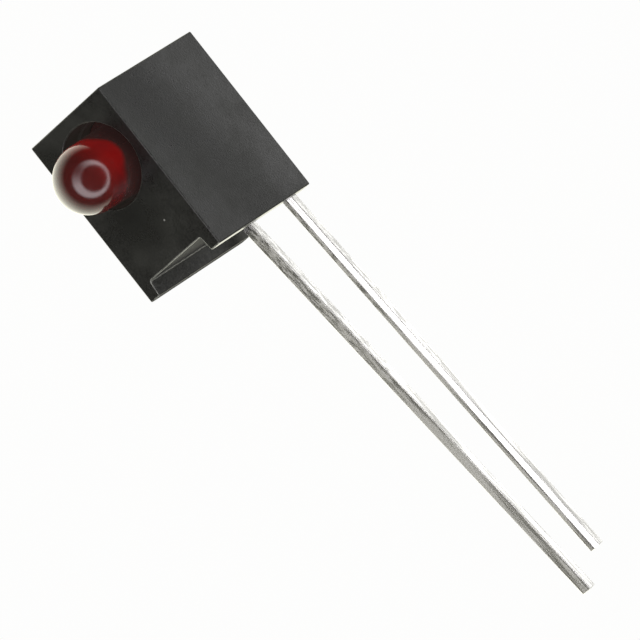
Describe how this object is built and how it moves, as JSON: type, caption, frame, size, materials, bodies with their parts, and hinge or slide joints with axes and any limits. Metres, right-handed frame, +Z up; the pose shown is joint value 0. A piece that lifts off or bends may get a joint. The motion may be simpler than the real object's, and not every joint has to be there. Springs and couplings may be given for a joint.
{
  "type": "right-angle led board indicator",
  "caption": "Small diffused red dome lamp held sideways in a black moulded block, with two long leads bent down for soldering through a circuit board.",
  "frame": {"origin": "on the circuit board's face, midway between the middles of the two leads where they pass through it", "axes": "+Z up out of the board, -Y the way the lamp points, +X across the housing towards the cathode lead"},
  "size_m": [0.0048, 0.0118, 0.0282],
  "materials": {
    "housing_plastic": "fine matt moulded black",
    "red_epoxy": "glossy, tinted and diffused",
    "tinned_lead": "tin plated, lightly streaked",
    "chip_crystal": "polished crystal",
    "silver_cement": "matt silver-filled cement",
    "gold_wire": "bright fine wire"
  },
  "bodies": {
    "root": {"housing": "housing_plastic", "led_lens": "red_epoxy", "anode_lead": "tinned_lead", "cathode_lead": "tinned_lead", "led_chip": "chip_crystal", "die_attach": "silver_cement", "bond_wire": "gold_wire"}
  },
  "joints": []
}
